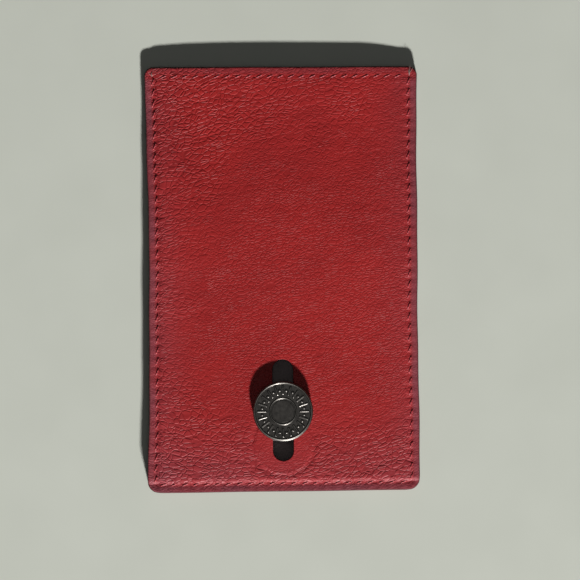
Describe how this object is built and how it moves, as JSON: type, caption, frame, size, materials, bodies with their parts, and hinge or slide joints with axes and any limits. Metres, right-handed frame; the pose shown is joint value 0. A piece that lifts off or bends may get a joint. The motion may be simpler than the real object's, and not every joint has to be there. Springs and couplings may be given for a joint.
{
  "type": "card holder",
  "caption": "Upright stitched leather card sleeve, open at the top, with a metal stud that slides in a front slot to push the cards out.",
  "frame": {"origin": "middle of the outline, on the plane that the back lies on", "axes": "+X right across the front, +Y towards the mouth, +Z out of the front"},
  "size_m": [0.068, 0.1064, 0.0061],
  "materials": {
    "red_goatskin": "grained, semi-matte",
    "dark_lambskin": "matte",
    "waxed_linen": "waxed",
    "stiffener_cloth": "matte",
    "spring_steel": "rolled",
    "dark_gunmetal": "dark plated, satin"
  },
  "bodies": {
    "sleeve": {"front_panel": "red_goatskin", "front_lining": "dark_lambskin", "slot_stiffener": "stiffener_cloth", "back_panel": "red_goatskin", "back_lining": "dark_lambskin", "left_welt": "red_goatskin", "right_welt": "red_goatskin", "bottom_welt": "red_goatskin", "left_seam": "waxed_linen", "right_seam": "waxed_linen", "bottom_seam": "waxed_linen", "front_hem": "waxed_linen", "back_hem": "waxed_linen"},
    "slider": {"slider_plate": "spring_steel", "slider_facing": "dark_lambskin", "slider_backing": "dark_lambskin", "stud_post": "dark_gunmetal", "stud_cap": "dark_gunmetal"}
  },
  "joints": [
    {"name": "card_lift", "type": "slide", "parent": "sleeve", "child": "slider", "axis": [0, 1, 0], "range_m": [-0.0085, 0.0105]}
  ]
}
